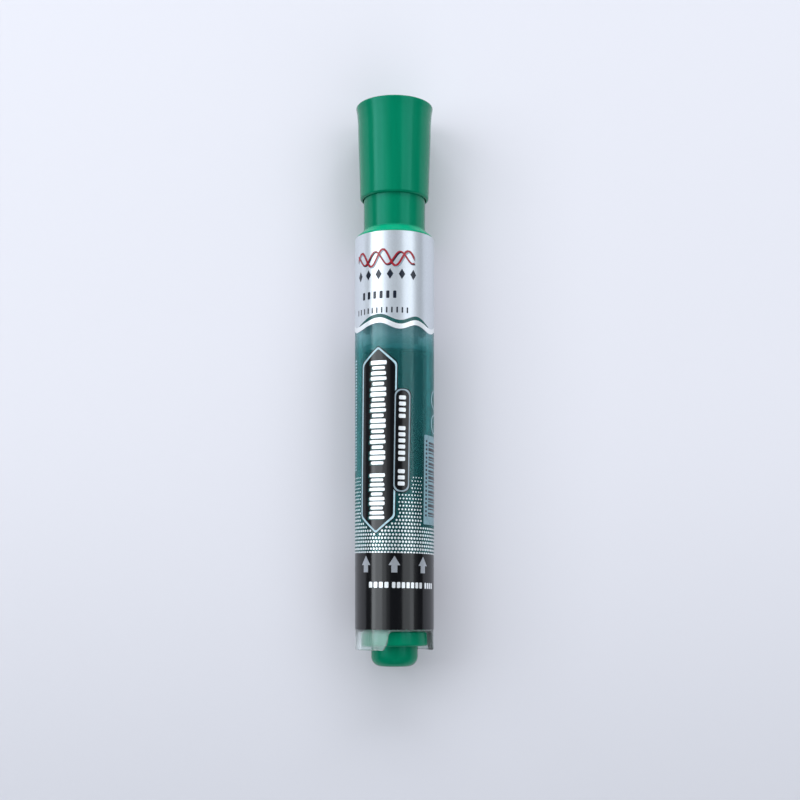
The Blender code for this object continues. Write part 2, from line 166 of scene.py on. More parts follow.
class Surface:
    """A material under construction: a node tree with a Principled shader and its output."""

    def __init__(self, name, colour, roughness, **inputs):
        self.material = bpy.data.materials.new(name)
        self.material.use_nodes = True
        self.tree = self.material.node_tree
        self.shader = self.tree.nodes["Principled BSDF"]
        self.output = self.tree.nodes["Material Output"]
        self.shader.inputs["Base Color"].default_value = colour
        self.shader.inputs["Roughness"].default_value = roughness
        for key, value in inputs.items():
            self.shader.inputs[key.replace("_", " ").title().replace("Ior", "IOR")].default_value = value

    def node(self, kind, **settings):
        node = self.tree.nodes.new(kind)
        for key, value in settings.items():
            setattr(node, key, value)
        return node

    def link(self, source, target):
        self.tree.links.new(source, target)

    def coordinates(self, stretch=(1, 1, 1)):
        """Object coordinates, stretched."""
        where = self.node("ShaderNodeTexCoord")
        mapping = self.node("ShaderNodeMapping")
        mapping.inputs["Scale"].default_value = stretch
        self.link(where.outputs["Object"], mapping.inputs["Vector"])
        return mapping.outputs["Vector"]

    def noise(self, scale, detail=3.0, stretch=(1, 1, 1), roughness=0.5):
        """Noise with features about 1/scale metres across."""
        noise = self.node("ShaderNodeTexNoise")
        noise.inputs["Scale"].default_value = scale
        noise.inputs["Detail"].default_value = detail
        noise.inputs["Roughness"].default_value = roughness
        self.link(self.coordinates(stretch), noise.inputs["Vector"])
        return noise.outputs["Fac"]

    def spread(self, factor, low, high, start=0.3, end=0.7):
        """Maps a noise's middle range onto low..high."""
        range_node = self.node("ShaderNodeMapRange")
        range_node.inputs["From Min"].default_value = start
        range_node.inputs["From Max"].default_value = end
        range_node.inputs["To Min"].default_value = low
        range_node.inputs["To Max"].default_value = high
        self.link(factor, range_node.inputs["Value"])
        return range_node.outputs["Result"]

    def blend(self, factor, first, second):
        """Mixes two colours by a factor. The first may come from a node."""
        mix = self.node("ShaderNodeMix", data_type="RGBA")
        if isinstance(first, bpy.types.NodeSocket):
            self.link(first, mix.inputs["A"])
        else:
            mix.inputs["A"].default_value = first
        mix.inputs["B"].default_value = second
        self.link(factor, mix.inputs["Factor"])
        return mix.outputs["Result"]

    def vary_colour(self, factor, first, second):
        self.link(self.blend(factor, first, second), self.shader.inputs["Base Color"])

    def vary_roughness(self, factor, low, high):
        self.link(self.spread(factor, low, high), self.shader.inputs["Roughness"])

    def bump(self, factor, depth, strength=0.5):
        """Relief of a depth in metres."""
        bump = self.node("ShaderNodeBump")
        bump.inputs["Strength"].default_value = strength
        bump.inputs["Distance"].default_value = depth
        self.link(factor, bump.inputs["Height"])
        self.link(bump.outputs["Normal"], self.shader.inputs["Normal"])


def shade(colour, factor):
    """A colour made darker or lighter by a factor."""
    return (colour[0] * factor, colour[1] * factor, colour[2] * factor, 1.0)


def green_plastic(name, colour, painted_glow_colour=None):
    """Moulded polypropylene: faint flow lines along the axis and a slightly uneven gloss. Given a second
    colour, the shoulder behind the neck is painted lighter: a painted glow for light falling on it, not the
    plastic's own colour."""
    surface = Surface(name, colour, 0.2, specular_ior_level=0.3, specular_tint=(0.3, 1.0, 0.95, 1.0))
    flow = surface.noise(420, 2.0, stretch=(1, 0.12, 1))
    body = surface.blend(surface.spread(flow, 0, 1), shade(colour, 0.94), shade(colour, 1.06))
    # Painted glow: behind the neck the base colour turns to the lighter shoulder colour, standing in for
    # light.
    if painted_glow_colour:
        places = surface.node("ShaderNodeSeparateXYZ")
        surface.link(surface.coordinates(), places.inputs["Vector"])
        glow = surface.spread(places.outputs["Y"], 1, 0, (NECK_BACK - 0.5) * MM, (NECK_BACK + 0.3) * MM)
        body = surface.blend(glow, body, painted_glow_colour)
    surface.link(body, surface.shader.inputs["Base Color"])
    surface.vary_roughness(surface.noise(350, 2.0, stretch=(1, 0.2, 1)), 0.16, 0.24)
    surface.bump(surface.noise(300, 2.0, stretch=(1, 0.3, 1)), 0.00003, 0.3)
    return surface.material


def natural_plastic():
    """Clear polypropylene with a slight milky haze and fine moulding ripples. It casts next to no
    shadow on what is inside it."""
    surface = Surface("natural_plastic", rgb(240, 248, 248), 0.06, transmission_weight=0.91, ior=1.46)
    surface.vary_roughness(surface.noise(900, 2.0), 0.05, 0.12)
    surface.bump(surface.noise(350, 2.0, stretch=(1, 0.5, 1)), 0.00002, 0.3)
    clear = surface.node("ShaderNodeBsdfTransparent")
    clear.inputs["Color"].default_value = rgb(190, 202, 202)
    path = surface.node("ShaderNodeLightPath")
    mix = surface.node("ShaderNodeMixShader")
    surface.link(path.outputs["Is Shadow Ray"], mix.inputs["Fac"])
    surface.link(surface.shader.outputs["BSDF"], mix.inputs[1])
    surface.link(clear.outputs["BSDF"], mix.inputs[2])
    surface.link(mix.outputs["Shader"], surface.output.inputs["Surface"])
    return surface.material


def satin_foil(name, colour, metallic=0.5):
    """Metallised film: a satin silver with a fine sparkle and faint streaks along the axis."""
    surface = Surface(name, colour, 0.3, metallic=metallic)
    grain = surface.noise(5200, 3.0, stretch=(1, 0.5, 1))
    surface.vary_colour(surface.spread(grain, 0, 1), shade(colour, 0.95), shade(colour, 1.04))
    surface.vary_roughness(surface.noise(500, 2.0, stretch=(1, 0.08, 1)), 0.28, 0.32)
    surface.bump(surface.noise(500, 2.0, stretch=(1, 0.1, 1)), 0.00001, 0.1)
    return surface.material


def print_ink(name, colour, roughness=0.22):
    """Solid print under a glossy film, with faint mottling."""
    surface = Surface(name, colour, roughness)
    mottle = surface.noise(1300, 3.0)
    surface.vary_colour(surface.spread(mottle, 0, 1), shade(colour, 0.85), shade(colour, 1.15))
    surface.vary_roughness(surface.noise(500, 2.0, stretch=(1, 0.1, 1)), roughness - 0.03, roughness + 0.04)
    surface.bump(surface.noise(400, 2.0, stretch=(1, 0.15, 1)), 0.00001, 0.25)
    return surface.material


def window_film():
    """Clear film with a transparent teal tint, paler towards its top: it lets the barrel show through,
    and mirrors a little."""
    surface = Surface("window_film", rgb(80, 190, 205), 0.3, specular_ior_level=0.0)
    clear = surface.node("ShaderNodeBsdfTransparent")
    streaks = surface.spread(surface.noise(500, 2.0, stretch=(1, 0.06, 1)), 0, 1)
    tint = surface.blend(streaks, rgb(176, 219, 218), rgb(184, 224, 223))
    places = surface.node("ShaderNodeSeparateXYZ")
    surface.link(surface.coordinates(), places.inputs["Vector"])
    fade = surface.spread(places.outputs["Y"], 0, 1, INK.front * MM, FILM_PALE_STATION * MM)
    surface.link(surface.blend(fade, tint, rgb(222, 238, 239)), clear.inputs["Color"])
    film = surface.node("ShaderNodeMixShader")
    haze_low, haze_high = 0.025, 0.032
    surface.link(surface.spread(streaks, haze_low, haze_high, 0, 1), film.inputs["Fac"])
    surface.link(clear.outputs["BSDF"], film.inputs[1])
    surface.link(surface.shader.outputs["BSDF"], film.inputs[2])
    gloss = surface.node("ShaderNodeBsdfGlossy")
    gloss.inputs["Roughness"].default_value = 0.12
    facing = surface.node("ShaderNodeLayerWeight")
    facing.inputs["Blend"].default_value = 0.5
    grazing = surface.node("ShaderNodeMath", operation="POWER")
    grazing.inputs[1].default_value = 5.0
    surface.link(facing.outputs["Facing"], grazing.inputs[0])
    mirror_straight, mirror_grazing = 0.02, 0.5
    mirror = surface.spread(grazing.outputs["Value"], mirror_straight, mirror_grazing, 0, 1)
    glossy_film = surface.node("ShaderNodeMixShader")
    surface.link(mirror, glossy_film.inputs["Fac"])
    surface.link(film.outputs["Shader"], glossy_film.inputs[1])
    surface.link(gloss.outputs["BSDF"], glossy_film.inputs[2])
    surface.link(glossy_film.outputs["Shader"], surface.output.inputs["Surface"])
    return surface.material


def liquid_ink():
    """Dark green ink that only lets light through where it is thin."""
    surface = Surface("green_ink", rgb(235, 250, 245), 0.02, transmission_weight=1.0, ior=1.36)
    absorb = surface.node("ShaderNodeVolumeAbsorption")
    absorb.inputs["Color"].default_value = (0.02, 0.62, 0.42, 1.0)
    absorb.inputs["Density"].default_value = 620
    surface.link(absorb.outputs["Volume"], surface.output.inputs["Volume"])
    surface.vary_roughness(surface.noise(300, 2.0), 0.01, 0.05)
    return surface.material


def felt(name, colour, pale):
    """Pressed fibre: strands along the axis, stained unevenly."""
    surface = Surface(name, colour, 0.9, sheen_weight=0.25)
    strands = surface.noise(9000, 5.0, stretch=(1, 0.12, 1), roughness=0.7)
    surface.vary_colour(surface.spread(strands, 0, 1, 0.35, 0.7), colour, pale)
    surface.vary_roughness(surface.noise(4000, 3.0), 0.8, 0.98)
    surface.bump(strands, 0.00012, 0.6)
    return surface.material


def plain_plastic(name, colour, roughness):
    """Machined or moulded technical plastic with a fine even texture."""
    surface = Surface(name, colour, roughness)
    mottle = surface.spread(surface.noise(1400, 4.0), 0, 1)
    surface.vary_colour(mottle, shade(colour, 0.88), shade(colour, 1.08))
    surface.vary_roughness(surface.noise(2200, 3.0), roughness - 0.06, roughness + 0.08)
    surface.bump(surface.noise(3000, 4.0), 0.00001, 0.3)
    return surface.material


def steel_wire():
    """Drawn spring wire, with fine rings left by coiling."""
    surface = Surface("spring_steel", (0.56, 0.57, 0.6, 1), 0.28, metallic=1.0)
    drawn = surface.noise(5000, 3.0, stretch=(0.3, 1, 0.3))
    surface.vary_colour(surface.spread(drawn, 0, 1), (0.45, 0.46, 0.49, 1), (0.66, 0.67, 0.69, 1))
    surface.vary_roughness(surface.noise(3500, 2.0), 0.2, 0.38)
    surface.bump(drawn, 0.000008, 0.3)
    return surface.material


GREEN = rgb(1, 118, 85)
SILVER = rgb(209, 215, 222)
WHITE = rgb(240, 243, 246)
BLACK = rgb(11, 12, 15)

CAP_PLASTIC = green_plastic("cap_plastic", GREEN)
# The shoulder's second, lighter green is a painted glow, not the plastic's own colour.
SHOULDER_PLASTIC = green_plastic("shoulder_plastic", GREEN, rgb(6, 160, 117))
NATURAL = natural_plastic()
FOIL = satin_foil("label_foil", SILVER)
PEARL = satin_foil("label_pearl", WHITE, 0.4)
ARROW_FOIL = satin_foil("arrow_foil", rgb(176, 181, 188))
BLACK_PRINT = print_ink("black_print", BLACK, 0.15)
GREEN_PRINT = print_ink("dark_green_print", rgb(30, 84, 82))
RED_PRINT = print_ink("red_print", rgb(150, 28, 42))
NAVY_PRINT = print_ink("navy_print", rgb(22, 30, 44))
PALE_PRINT = print_ink("pale_blue_print", rgb(168, 198, 208))
GREY_PRINT = print_ink("grey_print", rgb(138, 154, 163))
CODE_PRINT = print_ink("code_print", rgb(116, 150, 160))
FILM = window_film()
LIQUID = liquid_ink()
NIB_FELT = felt("nib_felt", rgb(18, 74, 52), rgb(60, 128, 96))
WICK_FELT = felt("wick_felt", rgb(40, 96, 76), rgb(90, 150, 126))
VALVE = plain_plastic("valve_plastic", rgb(132, 138, 146), 0.38)
LINER_PLASTIC = plain_plastic("liner_plastic", rgb(226, 229, 226), 0.42)
RUBBER = plain_plastic("seal_rubber", rgb(30, 30, 32), 0.65)
STEEL = steel_wire()


# --------------------------------------------------------------------------- meshes


def rounded(outline, steps=7):
    """The outline's points, with each (radius, station, fillet) corner replaced by an arc."""
    points = []
    for index, corner in enumerate(outline):
        here = Vector(corner[:2])
        if len(corner) == 2:
            points.append(here)
            continue
        before = Vector(outline[index - 1][:2]) - here
        after = Vector(outline[(index + 1) % len(outline)][:2]) - here
        half_angle = before.angle(after) / 2
        reach = corner[2] / math.tan(half_angle)
        inward = (before.normalized() + after.normalized()).normalized()
        centre = here + inward * corner[2] / math.sin(half_angle)
        start = here + before.normalized() * reach - centre
        end = here + after.normalized() * reach - centre
        sweep = start.angle_signed(end)
        for step in range(steps + 1):
            points.append(centre + Matrix.Rotation(-sweep * step / steps, 2) @ start)
    return points


def finish_piece(piece, body, replaces=()):
    """Shades a piece and hooks it to the frame."""
    piece.data.shade_smooth()
    piece.data.set_sharp_from_angle(angle=SHARP_ANGLE)
    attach(piece, body)
    if replaces:
        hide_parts(*replaces)
    return piece


def new_piece(name, mesh, material):
    piece = bpy.data.objects.new(name, mesh)
    bpy.context.scene.collection.objects.link(piece)
    mesh.materials.append(material)
    return piece


def mesh_from(work, name):
    """Turns a bmesh into a mesh with its faces pointing out."""
    bmesh.ops.recalc_face_normals(work, faces=work.faces)
    mesh = bpy.data.meshes.new(name)
    work.to_mesh(mesh)
    work.free()
    return mesh


def turned(name, outline, material):
    """Turns a closed outline about the axis. Points with no radius close it at a pole."""
    points = rounded(outline)
    work = bmesh.new()
    rings = []
    for point in points:
        count = 1 if point.x < 1e-6 else SIDES
        rings.append([work.verts.new(place(point.x, 2 * math.pi * i / SIDES, point.y)) for i in range(count)])
    for ring, after in zip(rings, rings[1:] + rings[:1]):
        if len(ring) == len(after) == 1:
            continue
        for i in range(SIDES):
            j = (i + 1) % SIDES
            corners = [ring[i % len(ring)], ring[j % len(ring)], after[j % len(after)], after[i % len(after)]]
            work.faces.new(list(dict.fromkeys(corners)))
    return new_piece(name, mesh_from(work, name), material)


def helix(name, radius, wire, turns, span, material):
    """A compression spring between the ends of its CAD box, as a mesh."""
    points_per_turn = 28
    curve = bpy.data.curves.new(name, "CURVE")
    curve.dimensions = "3D"
    curve.bevel_depth = wire * MM
    curve.bevel_resolution = 3
    curve.use_fill_caps = True
    count = round(turns * points_per_turn) + 1
    spline = curve.splines.new("POLY")
    spline.points.add(count - 1)
    start, length = span.back + wire, span.front - span.back - 2 * wire
    for index, point in enumerate(spline.points):
        angle = 2 * math.pi * index / points_per_turn
        point.co = (*place(radius, angle, start + length * index / (count - 1)), 1.0)
    guide = bpy.data.objects.new(name + "_guide", curve)
    bpy.context.scene.collection.objects.link(guide)
    graph = bpy.context.evaluated_depsgraph_get()
    mesh = bpy.data.meshes.new_from_object(guide.evaluated_get(graph))
    bpy.data.objects.remove(guide, do_unlink=True)
    work = bmesh.new()
    work.from_mesh(mesh)
    bmesh.ops.remove_doubles(work, verts=work.verts, dist=1e-6)
    mesh.materials.clear()
    return new_piece(name, mesh_from(work, name), material)


def slanted(across, station):
    """Lays a point of the flat art on the sleeve, which was wound on with a slight slant."""
    return across + station * math.sin(LABEL_SLANT), station - across * math.sin(LABEL_SLANT)


def flat_solid(loops):
    """Closed loops of flat points as one flat solid, cut into strips that follow the sleeve's facets.
    Returns its (across, station, depth) points and its faces. Loops that share edges are joined."""
    work = bmesh.new()
    for loop in loops:
        face = work.faces.new([work.verts.new((*slanted(*point), 0)) for point in loop])
        face.normal_update()
        if face.normal.z < 0:
            face.normal_flip()
    bmesh.ops.remove_doubles(work, verts=work.verts, dist=1e-5)
    strip = 2 * math.pi * SLEEVE.radius / SIDES
    low = min(v.co.x for v in work.verts)
    high = max(v.co.x for v in work.verts)
    for index in range(math.ceil(low / strip), math.floor(high / strip) + 1):
        bmesh.ops.bisect_plane(
            work,
            geom=work.verts[:] + work.edges[:] + work.faces[:],
            dist=1e-5,
            plane_co=(index * strip, 0, 0),
            plane_no=(1, 0, 0),
        )
    bmesh.ops.triangulate(work, faces=work.faces)
    work.verts.index_update()
    count = len(work.verts)
    points = [(v.co.x, v.co.y, depth) for depth in (0, PRINT_THICKNESS) for v in work.verts]
    faces = []
    for face in work.faces:
        corners = [v.index for v in face.verts]
        faces.append(corners)
        faces.append([count + i for i in reversed(corners)])
    for edge in work.edges:
        if edge.is_boundary:
            side = edge.link_loops[0]
            a, b = side.vert.index, side.link_loop_next.vert.index
            faces.append([b, a, count + a, count + b])
    work.free()
    return points, faces


def wrapped(name, groups, level, material):
    """Thin print on the sleeve. Each group is a list of flat loops that make one solid."""
    points, faces = [], []
    for loops in groups:
        own_points, own_faces = flat_solid(loops)
        base = len(points)
        for across, station, depth in own_points:
            points.append(place(level - depth, across / SLEEVE.radius, station))
        faces += [[base + i for i in face] for face in own_faces]
    mesh = bpy.data.meshes.new(name)
    mesh.from_pydata(points, [], faces)
    return finish_piece(new_piece(name, mesh, material), "barrel")


def sleeve_part(name, low, high, material):
    """A part of the sleeve: a thin closed tube between two edges, each a function of the distance
    round it."""
    work = bmesh.new()
    columns = []
    for index in range(SIDES):
        angle = 2 * math.pi * index / SIDES
        across = (angle if angle <= math.pi else angle - 2 * math.pi) * SLEEVE.radius
        top, bottom = high(across), low(across)
        corners = ((FILM_OUTER, top), (FILM_OUTER, bottom), (FILM_INNER, bottom), (FILM_INNER, top))
        columns.append([work.verts.new(place(radius, angle, station)) for radius, station in corners])
    for column, after in zip(columns, columns[1:] + columns[:1]):
        for i in range(4):
            j = (i + 1) % 4
            work.faces.new([column[i], column[j], after[j], after[i]])
    piece = new_piece(name, mesh_from(work, name), material)
    return finish_piece(piece, "barrel")


# --------------------------------------------------------------------------- turned pieces


def seal_groove(front):
    """The groove round a plug that holds its O-ring, from its front edge back."""
    back = front - GROOVE_LENGTH
    return [(PLUG_RADIUS, front), (GROOVE_RADIUS, front), (GROOVE_RADIUS, back), (PLUG_RADIUS, back)]


def make_cap():
    shell = [
        (0.0, CAP.front),
        *((CAP.radius - inward, CAP.front - back, fillet) for inward, back, fillet in CAP_SIDE),
        (CAP_RIM_RADIUS, CAP.back, 0.59),
        (CAP_BORE, CAP.back),
        (CAP_BORE, CAP_LINER_BORE_BACK),
        (CAP_LINER_BORE, CAP_LINER_BORE_BACK),
        (CAP_LINER_BORE, CAP.front - CAP_END_WALL),
        (0.0, CAP.front - CAP_END_WALL),
    ]
    finish_piece(turned("cap_shell_fine", shell, CAP_PLASTIC), "cap", ["cap_shell"])
    liner = [
        (0.0, LINER.front),
        (LINER.radius, LINER.front, 0.5),
        (LINER.radius, LINER.back, 0.15),
        (LINER_BORE + 0.15, LINER.back),
        (LINER_BORE, LINER.back + 0.2),
        (LINER_BORE, LINER.front - LINER_END_WALL, 0.4),
        (0.0, LINER.front - LINER_END_WALL),
    ]
    finish_piece(turned("inner_cap_fine", liner, LINER_PLASTIC), "cap", ["inner_cap"])


def make_front():
    nose_radius = 3.8
    land_radius, land_back, land_front = 5.8, 47.8, 49.8
    bead, bead_station, bead_reach = 0.1, 46.0, 0.4
    flange_front, flange_back = BARREL.front + 0.5, BARREL.front + 0.1
    housing_fit, wick_bore, nib_bore = 5.6, 4.75, 2.5
    section = [
        (nose_radius, SECTION.front, 0.5),
        (land_radius, land_front, 0.3),
        (land_radius, land_back),
        (NECK_RADIUS, NECK_FRONT, 0.12),
        (NECK_RADIUS, bead_station + bead_reach),
        (NECK_RADIUS + bead, bead_station, 0.3),
        (NECK_RADIUS, bead_station - bead_reach),
        (NECK_RADIUS, NECK_BACK, 0.2),
        (SECTION.radius, flange_front, 0.15),
        (SECTION.radius, flange_back),
        (PLUG_RADIUS, flange_back),
        *seal_groove(FRONT_GROOVE),
        (PLUG_RADIUS, SECTION.back),
        (housing_fit, SECTION.back),
        (housing_fit, HOUSING.front + 0.3),
        (wick_bore, HOUSING.front + 0.3),
        (wick_bore, NIB.back - 0.15),
        (nib_bore, NIB.back - 0.15),
        (nib_bore, SECTION.front - 0.2),
        (nib_bore + 0.2, SECTION.front),
    ]
    finish_piece(
        turned("front_section_fine", section, SHOULDER_PLASTIC), "barrel", ["front_section"]
    )
    nib = [
        (0.0, NIB.front),
        (1.35, NIB.front, 1.0),
        (NIB.radius, SECTION.front + 1.6, 2.0),
        (NIB.radius, NIB.back),
        (0.0, NIB.back),
    ]
    finish_piece(turned("nib_fine", nib, NIB_FELT), "barrel", ["nib"])


def make_tail():
    flange = CHAMBER_STEP - 0.1
    hole, hole_edge = 5.65, 0.12
    pocket_radius, pocket_back, pocket_front, guide_fit = 6.45, -58.6, -51.5, 5.6
    plug = [
        (PLUG_RADIUS, PLUG.front, 0.4),
        *seal_groove(REAR_GROOVE),
        (PLUG_RADIUS, flange),
        (PLUG.radius, flange),
        (PLUG.radius, PLUG.back, 0.6),
        (hole + hole_edge, PLUG.back),
        (hole, PLUG.back + hole_edge),
        (hole, pocket_back),
        (pocket_radius, pocket_back),
        (pocket_radius, pocket_front),
        (guide_fit, pocket_front),
        (guide_fit, PLUG.front),
    ]
    finish_piece(turned("rear_plug_fine", plug, CAP_PLASTIC), "barrel", ["rear_plug"])
    shaft, stem, collar_front, collar_back = 5.475, 3.2, -57.2, -58.4
    socket_radius, socket_end = 1.35, -61.0
    button = [
        (0.0, socket_end),
        (socket_radius, socket_end),
        (socket_radius, BUTTON.front),
        (stem, BUTTON.front, 0.2),
        (stem, collar_front),
        (BUTTON.radius, collar_front),
        (BUTTON.radius, collar_back),
        (shaft, collar_back),
        (shaft, BUTTON.back, 2.4),
        (0.0, BUTTON.back),
    ]
    finish_piece(turned("push_button_fine", button, CAP_PLASTIC), "button", ["push_button"])


def make_inside():
    rod_way = 1.5
    ink = [
        (INK.radius, INK.front, 1.2),
        (INK.radius, INK.back),
        (rod_way, INK.back),
        (rod_way, INK.front),
    ]
    finish_piece(turned("ink_charge_fine", ink, LIQUID), "barrel", ["ink_charge"])
    tube, bore, rod_hole = 5.5, 4.25, 2.2
    flange_front, floor_front = HOUSING.back + 1.2, HOUSING.back + 1.4
    housing = [
        (tube, HOUSING.front, 0.3),
        (tube, flange_front, 0.3),
        (HOUSING.radius, flange_front, 0.2),
        (HOUSING.radius, HOUSING.back, 0.2),
        (rod_hole, HOUSING.back),
        (rod_hole, floor_front),
        (bore, floor_front),
        (bore, HOUSING.front),
    ]
    finish_piece(turned("valve_housing_fine", housing, VALVE), "barrel", ["valve_housing"])
    for name, radius, wire, span, joint, node in SPRINGS:
        spring = helix(name, radius, wire, SPRING_TURNS, span, STEEL)
        finish_piece(spring, "barrel", [node])
        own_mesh(spring)


def notch_cutter():
    """The skirt notch: an outline, wider at the rim, that spreads as it moves out from the axis."""
    rim, flare_start, reach = BARREL.back, 1.0, 8.0
    half = [
        (NOTCH_TOP_WIDTH, NOTCH_TOP, NOTCH_CORNER),
        (NOTCH_WIDTH, rim + flare_start, flare_start),
        (NOTCH_WIDTH + NOTCH_FLARE, rim - flare_start),
        (NOTCH_WIDTH + NOTCH_FLARE, rim - 2 * flare_start),
    ]
    outline = rounded(half + [(-corner[0], *corner[1:]) for corner in reversed(half)])
    work = bmesh.new()
    loops = []
    for height in (BARREL.radius - 3 / 4 * reach, BARREL.radius + reach / 4):
        spread = height / NOTCH_WIDTH_HEIGHT
        loops.append([work.verts.new((p.x * spread * MM, p.y * MM, height * MM)) for p in outline])
    work.faces.new(loops[0])
    work.faces.new(loops[1])
    for i in range(len(outline)):
        j = (i + 1) % len(outline)
        work.faces.new([loops[0][i], loops[0][j], loops[1][j], loops[1][i]])
    turn = Matrix.Rotation(NOTCH_TURN, 4, "Y")
    raised = Matrix.Translation((0, 0, AXIS_HEIGHT * MM)) @ turn
    bmesh.ops.transform(work, matrix=raised, verts=work.verts)
    return bpy.data.objects.new("notch_cutter", mesh_from(work, "notch_cutter"))


def make_barrel():
    wall = [
        (BARREL.radius, BARREL.front),
        (BARREL.radius, BARREL.back, 0.3),
        (SKIRT_BORE + 0.1, BARREL.back),
        (SKIRT_BORE, BARREL.back + 0.1),
        (SKIRT_BORE, CHAMBER_STEP),
        (CHAMBER_BORE, CHAMBER_STEP),
        (CHAMBER_BORE, BARREL.front),
    ]
    barrel = turned("barrel_fine", wall, NATURAL)
    cutter = notch_cutter()
    bpy.context.scene.collection.objects.link(cutter)
    boolean = barrel.modifiers.new("notch", "BOOLEAN")
    boolean.operation = "DIFFERENCE"
    boolean.solver = "EXACT"
    boolean.object = cutter
    bevel = barrel.modifiers.new("edges", "BEVEL")
    bevel.limit_method = "ANGLE"
    bevel.angle_limit = math.radians(50)
    bevel.width = 0.12 * MM
    bevel.segments = 3
    graph = bpy.context.evaluated_depsgraph_get()
    barrel.data = bpy.data.meshes.new_from_object(barrel.evaluated_get(graph))
    barrel.modifiers.clear()
    bpy.data.objects.remove(cutter, do_unlink=True)
    finish_piece(barrel, "barrel", ["barrel"])


# --------------------------------------------------------------------------- printed sleeve

# Radii of the film's two faces, and of the outer faces of the printed layers that lie on it
PRINT_THICKNESS = 0.008
FILM_OUTER = SLEEVE.radius - 0.05
FILM_INNER = SLEEVE.radius - 0.095
LAYER_1 = SLEEVE.radius - 0.036
LAYER_2 = SLEEVE.radius - 0.024
LAYER_3 = SLEEVE.radius - 0.012
LAYER_4 = SLEEVE.radius - 0.001

# The wave between silver and window: (degrees round the sleeve, station of the edge)
WAVE = [
    (-177, 11.8), (-150, 13.1), (-122, 11.8), (-95, 13.0), (-67, 11.85), (-23, 13.36), (7, 11.92),
    (32, 13.01), (61, 11.75), (89, 13.0), (118, 11.8), (150, 13.1), (183, 11.8),
]
WHITE_STRIPE = 1.15

# The long black panel with pointed ends: its middle line, half width, ends, and the points' length
PANEL_MIDDLE = -3.88
PANEL_HALF = 4.7
PANEL_TOP = 8.15
PANEL_BOTTOM = -34.9
PANEL_POINT = 3.8

# The smaller black panel with round ends, beside it
PILL_MIDDLE = 1.99
PILL_HALF = 1.9
PILL_TOP = -1.7
PILL_BOTTOM = -25.2

# The panel of stripes at the sleeve's right
CODE_LEFT = 8.0
CODE_RIGHT = 20.0
CODE_TOP = -11.7
CODE_BOTTOM = -32.3
CODE_WIDTHS = (0.5, 0.25, 0.7, 0.3, 0.45, 0.25, 0.6, 0.35)

# The strokes on the long panel, in turn: width, and height as a share of the pitch
STROKES = [(4.0, 0.38), (3.2, 0.28), (3.7, 0.34), (4.0, 0.32), (2.9, 0.3), (3.9, 0.36)]


def wave_edge(across):
    """The station of the wave's lower edge at a distance round the sleeve."""
    degrees = math.degrees(across / SLEEVE.radius)
    for (start, low), (end, high) in zip(WAVE, WAVE[1:]):
        if start <= degrees <= end:
            share = 0.5 - 0.5 * math.cos(math.pi * (degrees - start) / (end - start))
            return low + (high - low) * share - across * math.sin(LABEL_SLANT)
    return WAVE[0][1] - across * math.sin(LABEL_SLANT)


def band_edge(across):
    """The station of the black band's upper edge, which has the label's slant up to its seam."""
    return BAND_TOP - (across * math.sin(LABEL_SLANT) if abs(across) < SEAM_START else 0)


def flat_level(station):
    """An edge that runs straight round the sleeve."""
    return lambda across: station


def arc_points(centre, radius, start, end, steps=10):
    """Points on an arc between two angles in degrees."""
    points = []
    for step in range(steps + 1):
        angle = math.radians(start + (end - start) * step / steps)
        points.append((centre[0] + radius * math.cos(angle), centre[1] + radius * math.sin(angle)))
    return points


def rounded_loop(corners):
    """A closed loop with the (across, station, fillet) corners rounded."""
    return [(p.x, p.y) for p in rounded(corners, 5)]


def bar(across, station, width, height, fillet):
    """A small rectangle with rounded corners."""
    w, h = width / 2, height / 2
    return rounded_loop([
        (across - w, station + h, fillet),
        (across + w, station + h, fillet),
        (across + w, station - h, fillet),
        (across - w, station - h, fillet),
    ])


def ring_of(outer, inner):
    """Quads between two loops with the same number of points."""
    return [
        [outer[i], outer[(i + 1) % len(outer)], inner[(i + 1) % len(outer)], inner[i]]
        for i in range(len(outer))
    ]


def lozenge(inset=0.0):
    """The long panel with pointed ends, drawn in by an inset."""
    half = PANEL_HALF - inset
    top, bottom = PANEL_TOP - inset * 1.25, PANEL_BOTTOM + inset * 1.25
    shoulder = PANEL_POINT * (half / PANEL_HALF) ** 0.5
    tip_fillet, shoulder_fillet = 0.5, 1.4
    return rounded_loop([
        (PANEL_MIDDLE, top, tip_fillet),
        (PANEL_MIDDLE + half, top - shoulder, shoulder_fillet),
        (PANEL_MIDDLE + half, bottom + shoulder, shoulder_fillet),
        (PANEL_MIDDLE, bottom, tip_fillet),
        (PANEL_MIDDLE - half, bottom + shoulder, shoulder_fillet),
        (PANEL_MIDDLE - half, top - shoulder, shoulder_fillet),
    ])


def pill(inset=0.0):
    """The smaller panel with round ends, drawn in by an inset."""
    half, top, bottom = PILL_HALF - inset, PILL_TOP - inset, PILL_BOTTOM + inset
    corner = min(1.45, half * 0.99)
    return rounded_loop([
        (PILL_MIDDLE - half, top, corner),
        (PILL_MIDDLE + half, top, corner),
        (PILL_MIDDLE + half, bottom, corner),
        (PILL_MIDDLE - half, bottom, corner),
    ])


def arrow(across, tip):
    """An upward arrow."""
    head, shaft, neck, foot = 1.37, 0.7, tip - 2.15, tip - 3.8
    return [
        (across, tip),
        (across + head, neck),
        (across + shaft, neck),
        (across + shaft, foot),
        (across - shaft, foot),
        (across - shaft, neck),
        (across - head, neck),
    ]


def make_sleeve():
    """The film itself in three parts: silver, tinted window and black band."""
    foil = sleeve_part("label_foil", wave_edge, flat_level(SLEEVE.front), FOIL)
    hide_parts("label_sleeve")
    sleeve_part("label_window", band_edge, wave_edge, FILM)
    sleeve_part("label_band", flat_level(SLEEVE.back), band_edge, BLACK_PRINT)


